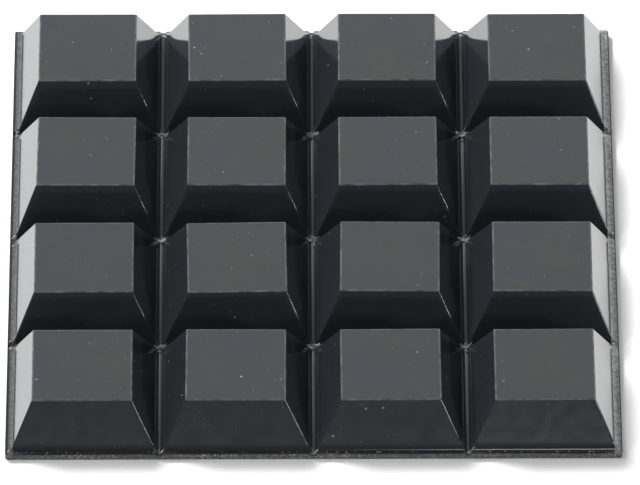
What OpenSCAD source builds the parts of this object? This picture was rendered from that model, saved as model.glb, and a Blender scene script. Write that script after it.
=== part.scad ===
// A sheet of tapered square rubber feet, moulded in one piece.
//
// The sheet is a flat slab of rubber. Straight V-shaped grooves with round bottoms cross it both
// ways and leave a square, tapered foot in each cell, joined to its neighbours by a thin web. A
// rounder, shallower half groove runs round the outside and leaves the thicker rim of the sheet.
// The sheet lies on Z = 0 with its middle over the origin, X across and Y from front to back.

/* [Sheet] */
// Feet in a row, from left to right
columns = 4; // [1:1:8]
// Rows of feet, from front to back
rows = 4; // [1:1:8]
// Distance from one foot to the next
pitch = 20.6; // [18:0.1:26]
// Thickness of the sheet at its outer edge
rim_t = 0.9; // [0.6:0.05:2]
// Radius of the hollow between the outer edge and the feet
rim_r = 1.1; // [0.5:0.05:1.5]
// Radius of the four corners of the sheet, seen from above
corner_r = 0.4; // [0.1:0.05:2]

/* [Foot] */
// Height of a foot above the underside of the sheet
foot_h = 7.6; // [5:0.1:12]
// Width of the flat, square top of a foot
top_w = 13.3; // [9:0.1:15]
// Size of the bevel round the top of a foot
bevel = 0.15; // [0.05:0.05:0.5]

/* [Grooves between the feet] */
// Thickness of the web under the grooves
web_t = 0.5; // [0.3:0.05:0.9]
// Radius of the round bottom of a groove
root_r = 0.4; // [0.2:0.05:1.2]

/* [Colour] */
// Colour of the rubber
rubber_colour = "#26272a"; // [#26272a, #3a3a3a, #5b5b5b, #d9d5cc]

/* [Hidden] */
// Segments that a full circle is drawn with
$fn = 96;

// Outer size of the sheet
sheet_x = columns * pitch;
sheet_y = rows * pitch;
// How far a cutter runs past what it cuts
overcut = 1;
// How far a groove's side cuts into its round bottom, so that they meet along one clean edge
bite = 0.0005;

// Half the width of a groove, measured between the sharp corners of two tops
half_gap = (pitch - top_w) / 2;
// Angle of a groove's sides from the horizontal. A side is a line from the corner of a foot's top
// that just cuts into the groove's round bottom, and up is how far the corner lies above its centre.
function side_angle(floor_z, r) =
    let (up = foot_h - floor_z - r) atan2(up, half_gap) + asin((r - bite) / norm([half_gap, up]));

// Section of a groove with its middle on Y, its bottom at floor_z and its bottom's radius r
module groove_section(floor_z, r) {
    angle = side_angle(floor_z, r);
    centre = [0, floor_z + r];
    low_end = centre + (r - bite) * [sin(angle), -cos(angle)];
    mouth = [half_gap + overcut / tan(angle), foot_h + overcut];
    translate(centre) circle(r);
    polygon([[-low_end[0], low_end[1]], low_end, mouth, [-mouth[0], mouth[1]]]);
    for (side = [-1, 1]) top_bevel(side, angle);
}

// The sliver that bevels the edge between a foot's side, at this angle, and its top. It reaches as
// far across the top and down the side all round a foot, so that the bevels meet at the corners,
// and it runs on into the open groove at both ends.
module top_bevel(side, angle) {
    corner = [half_gap, foot_h];
    on_side = corner - bevel * [1 / tan(angle), 1];
    on_top = corner + [bevel, 0];
    slope = (on_top - on_side) / norm(on_top - on_side);
    below = on_side - bevel * slope;
    above = on_top + overcut * slope;
    scale([side, 1]) polygon([below, above, [0, above[1]], [0, below[1]]]);
}

// Cutters for count feet side by side along X: a groove at each joint and one at each end, all
// running length along Y
module grooves(count, length) {
    for (joint = [0 : count])
        translate([(joint - count / 2) * pitch, 0, 0])
            rotate([90, 0, 0])
                linear_extrude(length + 2 * overcut, center = true)
                    if (joint == 0 || joint == count) groove_section(rim_t, rim_r);
                    else groove_section(web_t, root_r);
}

// The slab before it is grooved, with rounded corners
module slab() {
    linear_extrude(foot_h) {
        square([sheet_x - 2 * corner_r, sheet_y], center = true);
        square([sheet_x, sheet_y - 2 * corner_r], center = true);
        for (x = [-1, 1], y = [-1, 1])
            translate([x * (sheet_x / 2 - corner_r), y * (sheet_y / 2 - corner_r)]) circle(corner_r);
    }
}

// The whole moulding: feet, web and rim
module foot_sheet() {
    color(rubber_colour)
        difference() {
            slab();
            grooves(columns, sheet_y);
            rotate([0, 0, 90]) grooves(rows, sheet_x);
        }
}

foot_sheet();
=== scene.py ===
# %% [markdown]
# # A sheet of tapered square rubber feet
#
# Stick-on rubber feet are moulded many at a time, as one sheet of black rubber. Straight grooves
# with round bottoms cross the sheet both ways, so that a tapered, flat-topped foot stands in each
# cell, joined to its neighbours by a thin web. The user cuts or tears off as many as are needed.
#
# The lesson models the moulding the way its mould was cut: a flat slab, and then straight passes
# of one V-shaped cutter. After that it is rounded, made a little uneven, and given its finishes.

import math
import random

import bmesh
import bpy
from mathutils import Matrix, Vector


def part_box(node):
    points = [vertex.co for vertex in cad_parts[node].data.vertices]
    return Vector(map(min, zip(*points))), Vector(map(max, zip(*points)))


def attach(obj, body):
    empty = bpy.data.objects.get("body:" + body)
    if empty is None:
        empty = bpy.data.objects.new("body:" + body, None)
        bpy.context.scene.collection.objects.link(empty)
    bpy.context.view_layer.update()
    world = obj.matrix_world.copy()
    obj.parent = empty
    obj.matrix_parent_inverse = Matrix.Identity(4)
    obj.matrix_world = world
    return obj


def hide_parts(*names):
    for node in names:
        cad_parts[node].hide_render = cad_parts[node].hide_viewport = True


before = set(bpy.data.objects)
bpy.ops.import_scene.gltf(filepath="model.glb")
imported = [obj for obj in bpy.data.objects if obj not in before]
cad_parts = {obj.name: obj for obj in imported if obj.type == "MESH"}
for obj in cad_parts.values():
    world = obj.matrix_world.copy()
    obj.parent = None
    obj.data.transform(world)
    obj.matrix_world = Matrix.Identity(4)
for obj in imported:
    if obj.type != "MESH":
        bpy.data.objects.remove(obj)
bpy.context.view_layer.update()

# %% [markdown]
# ## Sizes
#
# Everything is in metres, in the part's own frame: X across, Y from front to back, Z up. The
# outer size is read from the part, and the section of the grooves repeats the moulding's sizes.

# %% Name the sizes
MM = 0.001
MICRON = 0.001 * MM  # things nearer to each other than this are in one place
COUNT = 4  # feet along each side
low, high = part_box("foot_sheet")
SIDE = round(high.x - low.x, 6)  # the sheet is square; to the micron
PITCH = SIDE / COUNT
FOOT_H = round(high.z - low.z, 6)
TOP_W = 13.3 * MM  # width of a foot's flat top
WEB_T = 0.5 * MM  # rubber left under the grooves
ROOT_R = 0.4 * MM  # round bottom of a groove
RIM_T = 0.9 * MM  # thickness at the outer edge
RIM_R = 1.1 * MM  # hollow between the outer edge and the feet
CORNER_R = 0.4 * MM  # corners of the sheet in plan

HALF_GAP = (PITCH - TOP_W) / 2  # half a groove's width, between the tops' sharp edges


def side_angle(floor_z, radius):
    """The slope of a line from the edge of a foot's top that touches a groove's round bottom."""
    up = FOOT_H - floor_z - radius
    return math.atan2(up, HALF_GAP) + math.asin(radius / math.hypot(up, HALF_GAP))


inner = math.degrees(side_angle(WEB_T, ROOT_R))
outer = math.degrees(side_angle(RIM_T, RIM_R))
print(f"pitch {PITCH / MM:.2f} mm, sides at {inner:.1f} degrees, outer ones at {outer:.1f}")

# %% [markdown]
# ## Helpers for modelling by hand
#
# An operator acts on all that is selected, so each step first selects what it needs. These
# helpers do what a hand does with the mouse: pick a piece, open it for editing, and pick its
# corners, edges or faces by where they are.

# %% Select pieces and their elements
def pick(*pieces):
    """Selects these pieces alone; the first is the active one."""
    bpy.ops.object.select_all(action="DESELECT")
    for piece in pieces:
        piece.select_set(True)
    bpy.context.view_layer.objects.active = pieces[0]


def edit(piece):
    """Opens a piece for editing."""
    pick(piece)
    bpy.ops.object.mode_set(mode="EDIT")


def leave_edit():
    bpy.ops.object.mode_set(mode="OBJECT")


def choose(kind, test):
    """Selects the verts, edges or faces of the piece in edit mode that pass the test."""
    bpy.ops.mesh.select_mode(type={"verts": "VERT", "edges": "EDGE", "faces": "FACE"}[kind])
    bpy.ops.mesh.select_all(action="DESELECT")
    mesh = bpy.context.object.data
    cage = bmesh.from_edit_mesh(mesh)
    chosen = [element for element in getattr(cage, kind) if test(element)]
    for element in chosen:
        element.select_set(True)
    bmesh.update_edit_mesh(mesh)
    return len(chosen)


def at_height(edge, height):
    return all(abs(corner.co.z - height) < MICRON for corner in edge.verts)


# %% [markdown]
# ## The cutter
#
# A groove's section is a V whose point is rounded. Bevelling the point of a V gives a curve that
# isn't quite a circle, so the round bottom is made with Spin: one side of the V starts as a
# plane, its lower edge is spun round the bottom's centre, and the last edge is extruded up the
# other side. The same V serves the rim, where its round bottom is larger and sits higher.

# %% Model a groove cutter
OVERCUT = 1 * MM  # how far a cutter runs past the slab
ROOT_STEPS = 16  # facets round the bottom of a groove


def model_cutter(floor_z, radius):
    """A cutter along Y for a groove with its bottom at floor_z and a round of this radius there."""
    slope = side_angle(floor_z, radius)
    touch = Vector((radius * math.sin(slope), floor_z + radius * (1 - math.cos(slope))))
    mouth = Vector((HALF_GAP + OVERCUT / math.tan(slope), FOOT_H + OVERCUT))
    half_length = SIDE / 2 + OVERCUT

    bpy.ops.mesh.primitive_plane_add(size=2)
    cutter = bpy.context.object
    edit(cutter)
    cage = bmesh.from_edit_mesh(cutter.data)
    for corner in cage.verts:  # stand the plane up as the right-hand side of the V
        end = mouth if corner.co.x > 0 else touch
        corner.co = (end.x, corner.co.y * half_length, end.y)
    bmesh.update_edit_mesh(cutter.data)

    choose("edges", lambda edge: at_height(edge, touch.y))
    bpy.ops.mesh.spin(
        steps=ROOT_STEPS, angle=-2 * slope, center=(0, 0, floor_z + radius), axis=(0, 1, 0)
    )
    up_the_side = (touch.x - mouth.x, 0, mouth.y - touch.y)
    bpy.ops.mesh.extrude_region_move(TRANSFORM_OT_translate={"value": up_the_side})

    choose("edges", lambda edge: at_height(edge, mouth.y) and edge.is_boundary)
    bpy.ops.mesh.edge_face_add()
    for end_y in (-half_length, half_length):
        choose("edges", lambda edge: all(abs(v.co.y - end_y) < MICRON for v in edge.verts))
        bpy.ops.mesh.edge_face_add()
    bpy.ops.mesh.select_all(action="SELECT")
    bpy.ops.mesh.normals_make_consistent(inside=False)
    leave_edit()
    return cutter


groove_cutter = model_cutter(WEB_T, ROOT_R)
rim_cutter = model_cutter(RIM_T, RIM_R)
print("cutter faces:", len(groove_cutter.data.polygons))

# %% [markdown]
# ## The slab and its grooves
#
# The slab is as high as the feet. Three copies of the groove cutter lie each way between the
# feet, and one rim cutter lies along each outer edge. They cross each other, so they are joined
# into one tool, and one Boolean that allows a tool to cut itself makes all the grooves at once.

# %% Make the slab
CORNER_STEPS = 6  # facets round each corner of the sheet
bpy.ops.mesh.primitive_cube_add(size=1, location=(0, 0, FOOT_H / 2), scale=(SIDE, SIDE, FOOT_H))
sheet = bpy.context.object
sheet.name = "rubber_foot_sheet"
bpy.ops.object.transform_apply(location=True, rotation=True, scale=True)
edit(sheet)
choose("edges", lambda edge: abs(edge.verts[0].co.z - edge.verts[1].co.z) > FOOT_H / 2)
bpy.ops.mesh.bevel(offset=CORNER_R, segments=CORNER_STEPS, profile=0.5, affect="EDGES")
leave_edit()
print("slab faces:", len(sheet.data.polygons))


# %% One copy of a cutter
def lay(cutter, place, turned):
    """A copy of the cutter along Y at X = place or, turned, along X at Y = place."""
    one = cutter.copy()
    one.data = cutter.data.copy()
    bpy.context.collection.objects.link(one)
    one.location = (0, place, 0) if turned else (place, 0, 0)
    one.rotation_euler.z = math.pi / 2 if turned else 0
    return one


# %% Lay out the cutters
joints = [(joint - COUNT / 2) * PITCH for joint in range(COUNT + 1)]
cutters = []
for turned in (False, True):
    cutters += [lay(groove_cutter, place, turned) for place in joints[1:-1]]
    cutters += [lay(rim_cutter, place, turned) for place in (joints[0], joints[-1])]
pick(*cutters)
bpy.ops.object.join()
mould = bpy.context.object
bpy.ops.object.transform_apply(location=True, rotation=True, scale=True)
print("cutters:", len(cutters), "faces:", len(mould.data.polygons))

# %% Cut the slab
pick(sheet)
grooves = sheet.modifiers.new("grooves", "BOOLEAN")
grooves.operation = "DIFFERENCE"
grooves.solver = "EXACT"
grooves.use_self = True
grooves.object = mould
bpy.ops.object.modifier_apply(modifier="grooves")
for spent in (groove_cutter, rim_cutter, mould):
    bpy.data.objects.remove(spent)
print("sheet faces:", len(sheet.data.polygons))

# %% [markdown]
# ## Rounded edges
#
# Nothing comes out of a mould with a razor edge. Each foot's four top edges and four sloping
# corners get a small round, which is what catches the light as a thin bright line. Bevel makes
# it, with a few segments, on just the edges that stick out. First a level cut divides the sides
# just above their round bottoms. Without it the shading of a long corner face would run on into
# the curve below, and the bright line would fade out half way down.
#
# The upper edges of the front and back rims get a smaller round, where the blade that trims the
# sheet has turned them into a ragged lip.

# %% Tell the top edges and the corners
ABOVE_RIM = 1.6 * MM  # a corner edge reaches higher than this
CORNER_ANGLE = math.radians(25)  # and is sharper than this
STEEPEST = 0.2  # the Z of a sloping face's normal is above this
FLATTEST = 0.99  # and below this


def is_top_edge(edge):
    return edge.is_convex and at_height(edge, FOOT_H)


def is_corner_edge(edge):
    """True for a sloping corner of a foot, which has sloping faces on both sides."""
    sloping = all(STEEPEST < face.normal.z < FLATTEST for face in edge.link_faces)
    above_rim = max(corner.co.z for corner in edge.verts) > ABOVE_RIM
    return edge.is_convex and sloping and above_rim and edge.calc_face_angle() > CORNER_ANGLE


# %% Cut level round the feet, and round the edges
EDGE_R = 0.16 * MM
LOW_CUT = 2 * MM  # just above the round bottoms
edit(sheet)
bpy.ops.mesh.select_all(action="SELECT")
bpy.ops.mesh.remove_doubles(threshold=2 * MICRON)
bpy.ops.mesh.bisect(plane_co=(0, 0, LOW_CUT), plane_no=(0, 0, 1))
rounded = choose("edges", lambda edge: is_top_edge(edge) or is_corner_edge(edge))
bpy.ops.mesh.bevel(offset=EDGE_R, segments=4, profile=0.5, affect="EDGES", clamp_overlap=False)
leave_edit()
print("edges rounded:", rounded)

# %% Break the upper edges of the front and back rims
LIP_R = 0.1 * MM  # a smaller round than the tops have


def is_rim_edge(edge):
    on_wall = all(abs(abs(corner.co.y) - SIDE / 2) < MICRON for corner in edge.verts)
    return edge.is_convex and on_wall and at_height(edge, RIM_T)


edit(sheet)
broken = choose("edges", is_rim_edge)
bpy.ops.mesh.bevel(offset=LIP_R, segments=2, profile=0.5, affect="EDGES", clamp_overlap=False)
leave_edit()
print("rim edges broken:", broken)

# %% [markdown]
# ## A little uneven
#
# Rubber is soft when it is pulled from its mould, so no two feet stand quite alike. The top of
# each foot, with its rounded edges, is slid and turned by a few hundredths of a millimetre. Its
# sides follow, because they hang on the same corners. The seed makes every run the same.

# %% Slide and turn each top
SLIDE = 0.05 * MM  # a typical slide
TURN = math.radians(0.5)  # a typical turn
chance = random.Random(7)
middles = [(cell + 0.5 - COUNT / 2) * PITCH for cell in range(COUNT)]

edit(sheet)
for x in middles:
    for y in middles:
        choose("verts", lambda corner: corner.co.z > FOOT_H - 2 * EDGE_R
               and abs(corner.co.x - x) < PITCH / 2 and abs(corner.co.y - y) < PITCH / 2)
        bpy.ops.transform.translate(value=(chance.gauss(0, SLIDE), chance.gauss(0, SLIDE), 0))
        bpy.ops.transform.rotate(value=chance.gauss(0, TURN), orient_axis="Z",
                                 center_override=(x, y, FOOT_H))
leave_edit()
print("tops moved:", COUNT * COUNT)

# %% [markdown]
# ## Shading
#
# The facets round the grooves are shaded as one curve. A weighted normal keeps the large flats
# flat right up to their rounded edges, so that reflections stay straight on them.

# %% Shade the sheet
SHARP = math.radians(35)  # an edge sharper than this isn't shaded as a curve
pick(sheet)
bpy.ops.object.shade_smooth_by_angle(angle=SHARP)
weighted = sheet.modifiers.new("weighted", "WEIGHTED_NORMAL")
weighted.keep_sharp = True
weighted.weight = 100
bpy.ops.object.modifier_apply(modifier="weighted")
print("faces shaded smooth:", sum(face.use_smooth for face in sheet.data.polygons))

# %% [markdown]
# ## Stretch marks at the crossings, with painted highlights
#
# Where two grooves cross, the web is thin in every direction, and pulling the sheet out of its
# mould leaves a star of fine, pale creases round each crossing. Their paleness is partly the
# rubber's own whitening and partly a painted highlight for the glints at the crossings. A crease
# is modelled as a long thin triangle. It is pointed away from the crossing, roughened by moving
# its corners a little at random, and dropped onto the sheet with Shrinkwrap. Solidify then gives
# it its thickness.
#
# Two wider triangles at each crossing are not dropped. They stay just above the web as a thin
# skin on each side and rise outwards to the left and right, and their pale colour is a painted
# reflection: the smile of light that the bottom of the crossing groove shows. Smaller stars mark
# where the grooves leave the sheet.

# %% One crease
def new_crease(x, y, heading, length, width):
    """A triangle from (x, y) outwards, heading in degrees from +X towards +Y."""
    bpy.ops.object.select_all(action="DESELECT")
    bpy.ops.mesh.primitive_circle_add(vertices=3, radius=1, fill_type="NGON", location=(x, y, FOOT_H))
    crease = bpy.context.object
    edit(crease)
    bpy.ops.mesh.select_all(action="SELECT")
    bpy.ops.mesh.subdivide(number_cuts=7)
    leave_edit()
    # the circle's first corner points along +Y, so Y is made the length
    crease.scale = (width / math.sqrt(3), length / 1.5, 1)
    turn = math.radians(heading - 90)
    crease.rotation_euler.z = turn
    # its middle lies a third of the way along it
    forward = Vector((-math.sin(turn), math.cos(turn), 0)) * length / 3
    crease.location = Vector((x, y, FOOT_H)) + forward
    return crease


# %% One skin
def new_reflection_skin(x, y, heading, length):
    """A wider triangle that stays above the web and rises outwards."""
    skin = new_crease(x, y, heading + chance.gauss(0, 2), length, chance.uniform(0.6, 1.1) * MM)
    skin.location.z = WEB_T + chance.uniform(0.16, 0.3) * MM
    skin.rotation_euler.x = math.radians(chance.uniform(6, 9))
    return skin


# %% Lay creases and skins round each crossing
STAR_CREASES = 9
creases, reflection_skins = [], []
for x in joints[1:-1]:
    for y in joints[1:-1]:
        for _ in range(STAR_CREASES):
            heading = chance.choice((0, 90, 180, 270)) + chance.gauss(0, 24)
            length = chance.uniform(0.6, 1.4) * MM
            width = chance.uniform(0.15, 0.35) * MM
            creases.append(new_crease(x, y, heading, length, width))
        reflection_skins.append(new_reflection_skin(x, y, 0, chance.uniform(2.0, 3.0) * MM))
        reflection_skins.append(new_reflection_skin(x, y, 180, chance.uniform(3.4, 4.4) * MM))
print("creases:", len(creases), "skins:", len(reflection_skins))

# %% Lay small stars where the grooves run out through the rim
RIM_CREASES = 7
INSET = 0.5 * MM  # from the outer edge
for along in joints[1:-1]:
    for turn in (0, 90, 180, 270):
        outward = Vector((math.cos(math.radians(turn)), math.sin(math.radians(turn)), 0))
        across = Vector((-outward.y, outward.x, 0))
        spot = outward * (SIDE / 2 - INSET) + across * along
        for _ in range(RIM_CREASES):
            heading = turn + 180 + chance.uniform(-110, 110)
            length = chance.uniform(0.4, 1.2) * MM
            width = chance.uniform(0.12, 0.3) * MM
            creases.append(new_crease(spot.x, spot.y, heading, length, width))
print("creases with those of the rim:", len(creases))

# %% Join them
WOBBLE = 0.03 * MM  # how far a corner moves


def joined(parts, name):
    """Joins parts into one piece, applies their turns and sizes, and moves each corner a little."""
    pick(*parts)
    bpy.ops.object.join()
    piece = bpy.context.object
    piece.name = name
    bpy.ops.object.transform_apply(location=True, rotation=True, scale=True)
    edit(piece)
    bpy.ops.mesh.select_all(action="SELECT")
    bpy.ops.transform.vertex_random(offset=WOBBLE, uniform=1.0, normal=0.0, seed=3)
    leave_edit()
    return piece


stars = joined(creases, "stretch_marks_and_painted_highlights")
reflection_skin_piece = joined(reflection_skins, "skins_painting_reflection")
print("joined:", stars.name, "and", reflection_skin_piece.name)

# %% Drop the creases onto the sheet and thicken all
CREASE_T = 0.04 * MM
drop = stars.modifiers.new("drop", "SHRINKWRAP")
drop.target = sheet
drop.wrap_method = "PROJECT"
drop.use_project_z = True
drop.use_positive_direction = False
drop.use_negative_direction = True
pick(stars)
bpy.ops.object.modifier_apply(modifier="drop")
pick(stars, reflection_skin_piece)
bpy.ops.object.join()
thicken = stars.modifiers.new("thicken", "SOLIDIFY")
thicken.thickness = CREASE_T
thicken.offset = 0.4  # most of it above the sheet
bpy.ops.object.modifier_apply(modifier="thicken")
print("crease and skin faces:", len(stars.data.polygons))

# %% [markdown]
# ## Crumbs of torn rubber, and shreds that paint glints
#
# The sheet is trimmed with a blade, which leaves crumbs of rubber along its front edge, and some
# are swept into the grooves, where they gather at the crossings and at the rims. Their pale colour
# is partly that of torn rubber and partly a painted highlight for the glints at those places. A
# crumb is a ball that is squashed and turned by chance, and it is so small that twenty faces are
# enough. A shred is a crumb that is drawn out long, and its pale colour is a painted glint. Two
# of them stand up like a V at each crossing, and one lies beside the left end of each foot along
# the front rim.
#
# Their heights are given one by one. Most are sunk a little into the sheet, and the rest stand off
# it by less than a third of a millimetre.

# %% One crumb and one shred, whose pale colour paints a glint
CRUMB_R = 0.1 * MM


def new_crumb(place, size):
    """A ball of twenty faces, squashed and turned by chance; its size is a factor."""
    bpy.ops.object.select_all(action="DESELECT")
    bpy.ops.mesh.primitive_ico_sphere_add(subdivisions=1, radius=CRUMB_R * size, location=place)
    crumb = bpy.context.object
    crumb.scale = [chance.uniform(0.6, 1.3) for _ in range(3)]
    crumb.rotation_euler = [chance.uniform(0, math.tau) for _ in range(3)]
    return crumb


def new_glint_shred(place, heading, length):
    """A crumb drawn out to a length, which climbs a little along its heading in degrees."""
    climb = math.radians(12)
    # the shred's pale colour is a painted glint
    glint_shred = new_crumb(place, 1)
    glint_shred.scale = (length / (2 * CRUMB_R), 0.8, 0.8)
    glint_shred.rotation_euler = (0, -climb, math.radians(heading))
    return glint_shred


# %% Scatter crumbs along the front rim, where the blade ran
FRONT_CRUMBS = 70
INSIDE = SIDE / 2 - 0.3 * MM  # how far out a crumb lies at most
crumbs = []
for _ in range(FRONT_CRUMBS):
    x = chance.uniform(-INSIDE, INSIDE)
    y = -INSIDE + chance.uniform(0, 0.15 * MM)
    crumbs.append(new_crumb((x, y, RIM_T + 0.05 * MM), chance.uniform(0.4, 1.2)))
print("crumbs:", len(crumbs))

# %% Scatter crumbs and stand shreds, painted glints, at the crossings
CROSSING_CRUMBS = 5
for x in joints[1:-1]:
    for y in joints[1:-1]:
        for _ in range(CROSSING_CRUMBS):
            spot = (x + chance.gauss(0, 0.15 * MM), y + chance.gauss(0, 0.5 * MM), WEB_T + 0.12 * MM)
            crumbs.append(new_crumb(spot, chance.uniform(0.4, 1.6)))
        for side, least, most in ((1, 0.9, 1.2), (-1, 0.5, 0.8)):  # the right one is longer
            heading = 90 - side * (42 + chance.gauss(0, 6))
            length = chance.uniform(least, most) * MM
            place = (x + side * 0.6 * MM, y + 0.08 * MM, WEB_T + 0.36 * MM)
            crumbs.append(new_glint_shred(place, heading, length))
print("crumbs with those of the crossings:", len(crumbs))

# %% Scatter crumbs where the grooves run out to the left and right
EXIT_CRUMBS = 9
for side in (-1, 1):
    for y in joints[1:-1]:
        for _ in range(EXIT_CRUMBS):
            inward = chance.uniform(0.35, 0.95) * MM
            spot = (side * (SIDE / 2 - inward), y + chance.gauss(0, 0.6 * MM), RIM_T + 0.08 * MM)
            crumbs.append(new_crumb(spot, chance.uniform(0.6, 2.4)))
print("crumbs with those of the left and right rims:", len(crumbs))

# %% Lay a shred, a painted glint, at the left end of each foot along the front rim
GLINT_SHRED_L = 0.8 * MM
GLINT_SHRED_HEADING = 45
for x in joints[:-1]:
    place = (x + 0.45 * MM, -SIDE / 2 + 0.6 * MM, RIM_T + 0.16 * MM)
    crumbs.append(new_glint_shred(place, GLINT_SHRED_HEADING, GLINT_SHRED_L))
print("crumbs in all:", len(crumbs))

# %% Join the crumbs and the shreds that paint glints
pick(*crumbs)
bpy.ops.object.join()
crumbs_and_glint_shreds = bpy.context.object
crumbs_and_glint_shreds.name = "rubber_crumbs_and_glint_shreds"
bpy.ops.object.transform_apply(location=True, rotation=True, scale=True)
print("crumb faces:", len(crumbs_and_glint_shreds.data.polygons))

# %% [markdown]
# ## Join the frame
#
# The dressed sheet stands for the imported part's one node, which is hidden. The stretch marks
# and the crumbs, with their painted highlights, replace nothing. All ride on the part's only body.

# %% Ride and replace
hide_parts("foot_sheet")
for piece in (sheet, stars, crumbs_and_glint_shreds):
    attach(piece, "root")
print("pieces:", sheet.name, stars.name, crumbs_and_glint_shreds.name)

# %% [markdown]
# ## Helpers for finishes
#
# A colour is written as a designer would, in sRGB hex, and turned to the linear values that the
# shader wants. Every pattern reads Object coordinates, which are in metres, so a pattern that
# repeats each millimetre has a scale of 1000.

# %% A colour in linear values
def linear(hex_colour):
    """An sRGB hex colour as the linear RGBA that the shader wants."""
    def channel(value):
        return value / 12.92 if value <= 0.04045 else ((value + 0.055) / 1.055) ** 2.4
    return tuple(channel(int(hex_colour[i:i + 2], 16) / 255) for i in (1, 3, 5)) + (1.0,)


print("a middle grey in linear values:", linear("#808080"))


# %% Nodes and materials
def every(millimetres):
    """The scale of a pattern that repeats about once in so many millimetres."""
    return 1 / (millimetres * MM)


def add_node(tree, kind, links=(), **settings):
    """Adds a node; settings are attributes or inputs, links are (input, output socket)."""
    node = tree.nodes.new(kind)
    for name, value in settings.items():
        if hasattr(node, name):
            setattr(node, name, value)
        else:
            node.inputs[name.replace("_", " ").title()].default_value = value
    for socket, source in links:
        tree.links.new(source, node.inputs[socket])
    return node


def new_material(name, colour, roughness, ior):
    """A new material and what its nodes need; they may vary this colour and this roughness."""
    material = bpy.data.materials.new(name)
    material.use_nodes = True
    tree = material.node_tree
    shader = tree.nodes["Principled BSDF"]
    shader.inputs["Base Color"].default_value = linear(colour)
    shader.inputs["Roughness"].default_value = roughness
    shader.inputs["IOR"].default_value = ior
    place = add_node(tree, "ShaderNodeTexCoord").outputs["Object"]
    return material, tree, shader, place


def describe(material):
    """Prints how many nodes a material has so far."""
    print(material.name, "nodes:", len(material.node_tree.nodes))


# %% [markdown]
# ## Dust
#
# Black rubber shows every speck of dust. Voronoi cells scatter the specks: each cell of space
# holds one point, and the surface is dusty only where it passes very near to it. Each cell also
# has a colour by chance. Its red says whether the cell has a speck, and its green how pale it is.

# %% Dust as a factor from 0 to 1
SOLID = 0.3  # the share of a speck's radius within which it is at its palest


def dust_on(tree, place, apart, radius, share):
    """Specks of a radius in mm, one in each cell of a size in mm, of which only a share is kept."""
    cells = add_node(tree, "ShaderNodeTexVoronoi", scale=every(apart), links=[("Vector", place)])
    near = add_node(tree, "ShaderNodeMapRange", interpolation_type="SMOOTHSTEP",
                    from_min=radius / apart, from_max=SOLID * radius / apart,
                    links=[("Value", cells.outputs["Distance"])])
    chances = add_node(tree, "ShaderNodeSeparateColor", links=[("Color", cells.outputs["Color"])])
    dusty = add_node(tree, "ShaderNodeMath", operation="LESS_THAN", links=[(0, chances.outputs["Red"])])
    dusty.inputs[1].default_value = share
    speck = add_node(tree, "ShaderNodeMath", operation="MULTIPLY",
                     links=[(0, near.outputs[0]), (1, dusty.outputs[0])])
    return add_node(tree, "ShaderNodeMath", operation="MULTIPLY",
                    links=[(0, speck.outputs[0]), (1, chances.outputs["Green"])]).outputs[0]


# %% Dust over a colour
def blend_colours(tree, factor, under, over):
    """Mixes two colours, each a hex string or the output of a node."""
    mix = add_node(tree, "ShaderNodeMix", data_type="RGBA", links=[("Factor", factor)])
    for socket, colour in ((6, under), (7, over)):
        if isinstance(colour, str):
            mix.inputs[socket].default_value = linear(colour)
        else:
            tree.links.new(colour, mix.inputs[socket])
    return mix.outputs[2]


def dusted(tree, place, colour, fine_share, bright_share):
    """The colour with fine, faint dust all over and a few larger, paler specks."""
    fine = dust_on(tree, place, apart=0.7, radius=0.12, share=fine_share)
    bright = dust_on(tree, place, apart=2.2, radius=0.2, share=bright_share)
    return blend_colours(tree, bright, blend_colours(tree, fine, colour, "#6a6d70"), "#b0b3b3")


# %% [markdown]
# ## Matte top
#
# The floor of each cavity in the mould is spark-eroded, and its fine grain leaves the top of a
# foot matte, so that it grips. Moulded black rubber isn't pure black: carbon and wax give a dark
# grey with faint warmer and cooler patches. Its IOR is about 1.52 and its roughness about 0.4.

# %% Rubber of the tops
top_rubber, tree, shader, place = new_material("moulded_rubber_matte_top", "#3c3e40", 0.42, 1.52)
patches = add_node(tree, "ShaderNodeTexNoise", scale=every(7), detail=2.0, links=[("Vector", place)])
softened = add_node(tree, "ShaderNodeMapRange", from_min=0.35, from_max=0.65,
                    links=[("Value", patches.outputs["Fac"])])
rubber_colour = blend_colours(tree, softened.outputs[0], "#383b42", "#3b3f3d")
tree.links.new(dusted(tree, place, rubber_colour, 0.5, 0.7), shader.inputs["Base Color"])
dullness = add_node(tree, "ShaderNodeMapRange", to_min=0.38, to_max=0.47,
                    links=[("Value", patches.outputs["Fac"])])
tree.links.new(dullness.outputs[0], shader.inputs["Roughness"])
# the grain is 0.05 mm, and is drawn at 0.16 mm so that it shows
grain = add_node(tree, "ShaderNodeTexNoise", scale=every(0.16), detail=2.0, links=[("Vector", place)])
relief = add_node(tree, "ShaderNodeBump", strength=0.25, distance=0.01 * MM,
                  links=[("Height", grain.outputs["Fac"])])
tree.links.new(relief.outputs[0], shader.inputs["Normal"])
describe(top_rubber)

# %% [markdown]
# ## Polished sides
#
# The ridges of the mould are polished so that the feet come out, and the rubber takes their
# gloss. It mirrors like dark glass, but it is never as flat: a faint orange peel breaks up what
# it reflects. A film of release agent makes it reflect a little more than bare rubber does.
#
# The left and right rims are painted pale in strips, as a painted reflection in their hollows. The
# right one is paler than the left, as painted light on the side away from the softbox, and along
# the outermost lip of each runs a painted shade line. Masks find the strips by their distance from
# the edge, so that the polish ends along a straight line.

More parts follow.
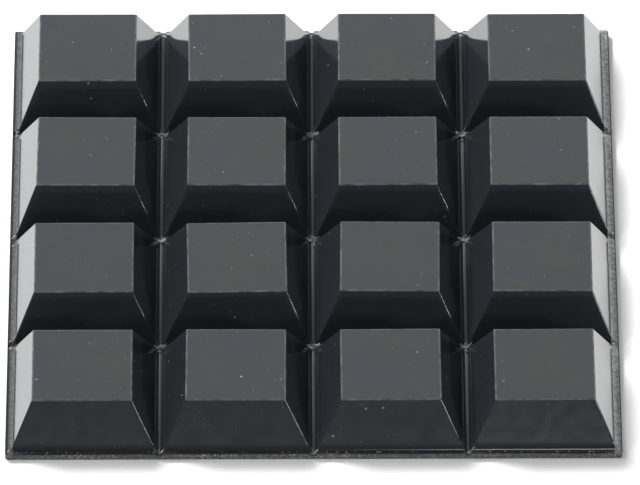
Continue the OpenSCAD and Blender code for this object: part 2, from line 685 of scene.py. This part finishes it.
# %% Rubber of the sides
SIDE_COLOUR = "#2d3035"
side_rubber, tree, shader, place = new_material("moulded_rubber_polished_side", SIDE_COLOUR, 0.1, 1.6)
side_colour = dusted(tree, place, SIDE_COLOUR, 0.3, 0.3)
smears = add_node(tree, "ShaderNodeTexNoise", scale=every(1.6), detail=5.0, links=[("Vector", place)])
gloss = add_node(tree, "ShaderNodeMapRange", from_min=0.35, from_max=0.65, to_min=0.1, to_max=0.14,
                 links=[("Value", smears.outputs["Fac"])])
describe(side_rubber)

# %% Masks and mottling for the strips of painted reflection
SOFT_END = 0.1 * MM  # how wide the line is along which a strip ends
axes = add_node(tree, "ShaderNodeSeparateXYZ", links=[(0, place)])
strip_mottle = add_node(tree, "ShaderNodeTexNoise", scale=every(0.5), detail=4.0, links=[("Vector", place)])
pale = add_node(tree, "ShaderNodeMapRange", from_min=0.36, from_max=0.66,
                links=[("Value", strip_mottle.outputs["Fac"])])


def strip(side, width):
    """1 within a width of the left (-1) or right (1) edge of the sheet, and 0 elsewhere."""
    edge = side * (SIDE / 2 - width)
    return add_node(tree, "ShaderNodeMapRange", from_min=edge - side * SOFT_END, from_max=edge,
                    links=[("Value", axes.outputs["X"])]).outputs[0]


# %% Strips of painted reflection and light along the left and right rims
PAINTED_STRIP_W = 1.0 * MM
STRIP_ROUGHNESS = 0.5
colour = side_colour
roughness = gloss.outputs[0]
# each rim's colours paint a reflection in its strip; the right ones are paler as painted light
for side, dark, light, shade_line_w in (
    (-1, "#393b3c", "#606262", 0.3 * MM),
    (1, "#6b6d6d", "#adafaf", 0.1 * MM),
):
    painted_strip_colour = blend_colours(tree, pale.outputs[0], dark, light)
    colour = blend_colours(tree, strip(side, PAINTED_STRIP_W), colour, painted_strip_colour)
    # a painted shade line, dark as a contact shadow, along the outermost lip
    colour = blend_colours(tree, strip(side, shade_line_w), colour, "#17181a")
    dulled = add_node(tree, "ShaderNodeMix", data_type="FLOAT",
                      links=[("Factor", strip(side, PAINTED_STRIP_W)), ("A", roughness)])
    dulled.inputs["B"].default_value = STRIP_ROUGHNESS
    roughness = dulled.outputs[0]
tree.links.new(colour, shader.inputs["Base Color"])
tree.links.new(roughness, shader.inputs["Roughness"])
describe(side_rubber)

# %% Orange peel of the sides
# its waves are about 0.3 mm long and a few microns high
peel = add_node(tree, "ShaderNodeTexNoise", scale=every(0.3), detail=3.0, links=[("Vector", place)])
relief = add_node(tree, "ShaderNodeBump", strength=0.5, distance=0.004 * MM,
                  links=[("Height", peel.outputs["Fac"])])
tree.links.new(relief.outputs[0], shader.inputs["Normal"])
describe(side_rubber)

# %% [markdown]
# ## Rubbed edges with a painted highlight, and trimmed walls
#
# The edges round the tops rub on the packing and turn a duller grey. Their lighter grey is partly
# that wear and partly a painted highlight, for the thin light lines along the tops' edges. The
# outer wall is cut with a blade, which tears the rubber as much as it slices it, so the wall is
# rougher still and mottled, and in places it has pale grains where the filler shows.

# %% Rubber of the rubbed edges, lighter partly as a painted highlight
rubbed_and_highlit_rubber, tree, shader, place = new_material("rubbed_rubber_edge_and_painted_highlight", "#4c4e51", 0.38, 1.52)
wear = add_node(tree, "ShaderNodeTexNoise", scale=every(1.5), detail=3.0, links=[("Vector", place)])
wear_and_highlight_mask = add_node(tree, "ShaderNodeMapRange", from_min=0.35, from_max=0.7,
                links=[("Value", wear.outputs["Fac"])])
# lighter grey, partly wear and partly a painted highlight
worn_and_highlit_colour = blend_colours(tree, wear_and_highlight_mask.outputs[0], "#3d3f41", "#6b6d70")
tree.links.new(worn_and_highlit_colour, shader.inputs["Base Color"])
describe(rubbed_and_highlit_rubber)

# %% Rubber of the trimmed wall
cut_rubber, tree, shader, place = new_material("trimmed_rubber_wall", "#3a3c3d", 0.6, 1.52)
torn = add_node(tree, "ShaderNodeTexNoise", scale=every(0.45), detail=4.0, links=[("Vector", place)])
pale = add_node(tree, "ShaderNodeMapRange", from_min=0.42, from_max=0.7,
                links=[("Value", torn.outputs["Fac"])])
mottled = blend_colours(tree, pale.outputs[0], "#2a2c2d", "#5a5c5d")
relief = add_node(tree, "ShaderNodeBump", strength=0.8, distance=0.04 * MM,
                  links=[("Height", torn.outputs["Fac"])])
tree.links.new(relief.outputs[0], shader.inputs["Normal"])
describe(cut_rubber)

# %% Pale grains in the trimmed wall
grains = dust_on(tree, place, apart=0.36, radius=0.17, share=0.8)
areas = add_node(tree, "ShaderNodeTexNoise", scale=every(12), links=[("Vector", place)])
grainy = add_node(tree, "ShaderNodeMapRange", from_min=0.42, from_max=0.58,
                  links=[("Value", areas.outputs["Fac"])])
grains = add_node(tree, "ShaderNodeMath", operation="MULTIPLY",
                  links=[(0, grains), (1, grainy.outputs[0])]).outputs[0]
tree.links.new(blend_colours(tree, grains, mottled, "#b3b5b1"), shader.inputs["Base Color"])
describe(cut_rubber)

# %% [markdown]
# ## Creases and crumbs
#
# Stretched rubber turns pale, because the filler comes away from it, and keeps some of its gloss.
# A torn crumb is paler still and dull. Each has a coarse mottling of its own. Both pale colours
# are also painted highlights, for the glints and the reflected light at the crossings and along
# the rims.

# %% Rubber of the creases and the crumbs
for piece, name, dark, light, roughness in (
    # the crease colours are partly stretch whitening and partly painted highlights
    (stars, "stretched_rubber_crease_and_painted_highlight", "#4c4e4f", "#b6b8b7", 0.25),
    # the crumb colours are partly torn rubber and partly painted glints
    (crumbs_and_glint_shreds, "torn_rubber_crumb_and_painted_glint", "#4a4c4d", "#d6d8d7", 0.5),
):
    rubber, tree, shader, place = new_material(name, light, roughness, 1.55)
    mottle = add_node(tree, "ShaderNodeTexNoise", scale=every(0.5), detail=2.0, links=[("Vector", place)])
    spread = add_node(tree, "ShaderNodeMapRange", from_min=0.4, from_max=0.62,
                      links=[("Value", mottle.outputs["Fac"])])
    tree.links.new(blend_colours(tree, spread.outputs[0], dark, light), shader.inputs["Base Color"])
    piece.data.materials.append(rubber)
    describe(rubber)

# %% [markdown]
# ## Give each face its finish
#
# A face is sorted by its place and by the way it points: flat ones at the very top or bottom are
# matte, the little rounds next to a top are rubbed and lighter, partly as a painted highlight,
# upright ones and the torn lips above them are trimmed, and all the rest came off the polished
# ridges.

# %% The finish of one face
TOP, SIDE_FACE, RUBBED_AND_HIGHLIT, TRIMMED = range(4)
# what the Z of a face's normal is
FLAT = 0.995  # above this on a face that lies flat
ROUND = 0.44  # above this on the rounds next to a top, and below it on the sides
TORN = 0.98  # below this on a torn lip
UPRIGHT = 0.01  # below this on an upright wall


def finish_of(face):
    """The number of a face's finish, from its place and from the Z of its normal."""
    height = face.center.z
    tilt = face.normal.z
    at_top_or_bottom = not 0.1 * MM < height < FOOT_H - 0.03 * MM
    if abs(tilt) > FLAT and at_top_or_bottom:
        return TOP
    if height > FOOT_H - 1.2 * EDGE_R and tilt > ROUND:
        return RUBBED_AND_HIGHLIT
    on_lip = abs(face.center.y) > SIDE / 2 - LIP_R and tilt < TORN
    if abs(tilt) < UPRIGHT or on_lip:
        return TRIMMED
    return SIDE_FACE


# %% Sort the faces
finishes = (top_rubber, side_rubber, rubbed_and_highlit_rubber, cut_rubber)
for finish in finishes:
    sheet.data.materials.append(finish)
count_of = [0] * len(finishes)
for face in sheet.data.polygons:
    face.material_index = finish_of(face)
    count_of[face.material_index] += 1
print("faces that are matte, polished, rubbed, trimmed:", count_of)

# %% [markdown]
# ## Floor
#
# The sheet lies on white paper. To camera rays the paper is a little paler than it can be, so
# that it comes out pure white, and reflections see it bright too. Neither puts any more light on
# the sheet, and the shadow stays on the paper.

# %% Lay the floor
FLOOR_W = 1.2
UNDER = 0.01 * MM  # it lies this far under the sheet
bpy.ops.object.select_all(action="DESELECT")
bpy.ops.mesh.primitive_plane_add(size=FLOOR_W, location=(0, 0, -UNDER))
floor = bpy.context.object
floor.name = "floor"
print("floor:", FLOOR_W, "m wide")

# %% White paper
PAPER = 0.9  # what white paper reflects
PAPER_SEEN = 1.16  # what it reflects as camera rays see it
paper = bpy.data.materials.new("white_paper_floor")
paper.use_nodes = True
tree = paper.node_tree
tree.nodes.clear()
rays = add_node(tree, "ShaderNodeLightPath")
paleness = add_node(tree, "ShaderNodeMapRange", to_min=PAPER, to_max=PAPER_SEEN,
                    links=[("Value", rays.outputs["Is Camera Ray"])])
mirrored = add_node(tree, "ShaderNodeMath", operation="MAXIMUM",
                    links=[(0, rays.outputs["Is Glossy Ray"]), (1, rays.outputs["Is Transmission Ray"])])
glowing = add_node(tree, "ShaderNodeEmission", links=[("Strength", mirrored.outputs[0])])
matte = add_node(tree, "ShaderNodeBsdfDiffuse", links=[("Color", paleness.outputs[0])])
both = add_node(tree, "ShaderNodeAddShader", links=[(0, matte.outputs[0]), (1, glowing.outputs[0])])
add_node(tree, "ShaderNodeOutputMaterial", links=[("Surface", both.outputs[0])])
floor.data.materials.append(paper)
describe(paper)

# %% [markdown]
# ## World
#
# A glossy black thing is drawn by what it mirrors, so the world is a light tent. The camera sees
# it as plain white. Reflections see it bright low down at the back, dimmer overhead, and dark from
# the sides round to behind the camera, which is what makes the front of each foot nearly black.

# %% What reflections see of the tent
BEHIND_CAMERA = 0.12  # the share of the tent's brightness behind the camera
OVERHEAD = 0.06  # and right overhead
TENT = 2.0  # its brightness low at the back
world = bpy.data.worlds.new("light_tent")
bpy.context.scene.world = world
world.use_nodes = True
tree = world.node_tree
tree.nodes.clear()
rays = add_node(tree, "ShaderNodeLightPath")
direction = add_node(tree, "ShaderNodeTexCoord")
axes = add_node(tree, "ShaderNodeSeparateXYZ", links=[(0, direction.outputs["Generated"])])
behind = add_node(tree, "ShaderNodeMapRange", interpolation_type="SMOOTHSTEP",
                  from_min=0.0, from_max=0.6, to_min=BEHIND_CAMERA, to_max=1.0,
                  links=[("Value", axes.outputs["Y"])])
level = add_node(tree, "ShaderNodeValToRGB", links=[("Fac", axes.outputs["Z"])])
level.color_ramp.elements[0].color = (1, 1, 1, 1)
level.color_ramp.elements[1].color = (OVERHEAD, OVERHEAD, OVERHEAD, 1)
for height, shade in ((0.45, 0.55), (0.7, 0.42)):
    level.color_ramp.elements.new(height).color = (shade, shade, shade, 1)
dimmed = add_node(tree, "ShaderNodeMath", operation="MULTIPLY",
                  links=[(0, behind.outputs[0]), (1, level.outputs[0])])
tent = add_node(tree, "ShaderNodeMath", operation="MULTIPLY", links=[(0, dimmed.outputs[0])])
tent.inputs[1].default_value = TENT
print(world.name, "nodes:", len(tree.nodes))

# %% What the sheet is lit by and what the camera sees
FILL = 0.335  # even light from all round
WHITE = 1.0
mirrored = add_node(tree, "ShaderNodeMath", operation="MAXIMUM",
                    links=[(0, rays.outputs["Is Glossy Ray"]), (1, rays.outputs["Is Transmission Ray"])])
fill = add_node(tree, "ShaderNodeMix", data_type="FLOAT",
                links=[("Factor", mirrored.outputs[0]), ("B", tent.outputs[0])])
fill.inputs["A"].default_value = FILL
seen = add_node(tree, "ShaderNodeMix", data_type="FLOAT",
                links=[("Factor", rays.outputs["Is Camera Ray"]), ("A", fill.outputs[0])])
seen.inputs["B"].default_value = WHITE
back = add_node(tree, "ShaderNodeBackground", links=[("Strength", seen.outputs[0])])
add_node(tree, "ShaderNodeOutputWorld", links=[("Surface", back.outputs[0])])
print(world.name, "nodes:", len(tree.nodes))

# %% [markdown]
# ## Lamps
#
# One softbox, behind the sheet and to its left, lights it and throws the soft shadow along its
# front and right edges. It would show in the bottom of every groove, so reflections don't see
# it, and the tent stands in for it there. The others do little more than draw highlights: one at
# the left, and a faint, larger one at the back for a sheen on the tops. A low strip at the front
# right is where the rounded right front corners mirror the camera to, so it draws their bright
# lines. It is kept small, because the tops would mirror a larger one as glare seen from behind.
#
# Another strip hangs close over the front edge. Only reflections see it, and it draws the thin
# line in the hollow of the front rim, which fades to the left because the strip is so near.

# %% One lamp
def around(azimuth, elevation):
    """A place a metre away from the sheet, by its angles from the back and from the floor."""
    turn = math.radians(azimuth)
    rise = math.radians(elevation)
    return Vector((math.sin(turn) * math.cos(rise), math.cos(turn) * math.cos(rise), math.sin(rise)))


def soft_lamp(name, place, width, height, watts, aim=Vector((0, 0, 0))):
    """A rectangular softbox at a place, turned to face its aim."""
    lamp = bpy.data.lights.new(name, "AREA")
    lamp.shape = "RECTANGLE"
    lamp.size = width
    lamp.size_y = height
    lamp.energy = watts
    holder = bpy.data.objects.new(name, lamp)
    bpy.context.collection.objects.link(holder)
    holder.location = place
    holder.rotation_euler = (aim - place).to_track_quat("-Z", "Y").to_euler()
    return holder


# %% Lamps round the sheet
key_softbox = soft_lamp("key_softbox", around(-40.5, 46.5), width=0.3, height=0.18, watts=9.5)
key_softbox.visible_glossy = False
soft_lamp("left_softbox", around(-92, 50), width=0.15, height=0.15, watts=1.4)
soft_lamp("right_strip", around(130, 20), width=0.17, height=0.12, watts=2.0)
soft_lamp("back_softbox", around(4, 28), width=0.4, height=0.4, watts=0.5)

# %% The strip close over the front edge
STRIP_X = 0.07
over_the_rim = Vector((STRIP_X, -SIDE / 2, 0))
front_strip = soft_lamp("front_strip", Vector((STRIP_X, -0.185, 0.32)),
                        width=0.1, height=0.06, watts=0.11, aim=over_the_rim)
front_strip.visible_diffuse = False
front_strip.visible_camera = False
print("front strip, metres above the floor:", round(front_strip.location.z, 3))

# %% [markdown]
# ## Camera
#
# The camera looks down at the sheet by some 44 degrees, from far off and with a long lens, so
# that the sheet's near and far edges come out almost as long as each other.

# %% Camera
AZIMUTH = math.radians(0.23)  # turned this much from straight at the front edge
ELEVATION = math.radians(44.41)
LENS = 595.5  # in millimetres, as Blender wants it
FILM_W = 36  # likewise
DISTANCE = 1.442  # from the point that it is aimed at
AIM = Vector((0.99 * MM, 0.09 * MM, 0))
forward = Vector((math.sin(AZIMUTH), math.cos(AZIMUTH), -math.tan(ELEVATION))).normalized()
lens = bpy.data.cameras.new("camera")
lens.lens = LENS
lens.sensor_width = FILM_W
camera = bpy.data.objects.new("camera", lens)
bpy.context.collection.objects.link(camera)
camera.location = AIM - forward * DISTANCE
camera.rotation_euler = forward.to_track_quat("-Z", "Y").to_euler()
bpy.context.scene.camera = camera
bpy.context.scene.view_settings.view_transform = "Standard"
print("camera at:", [round(value, 3) for value in camera.location])
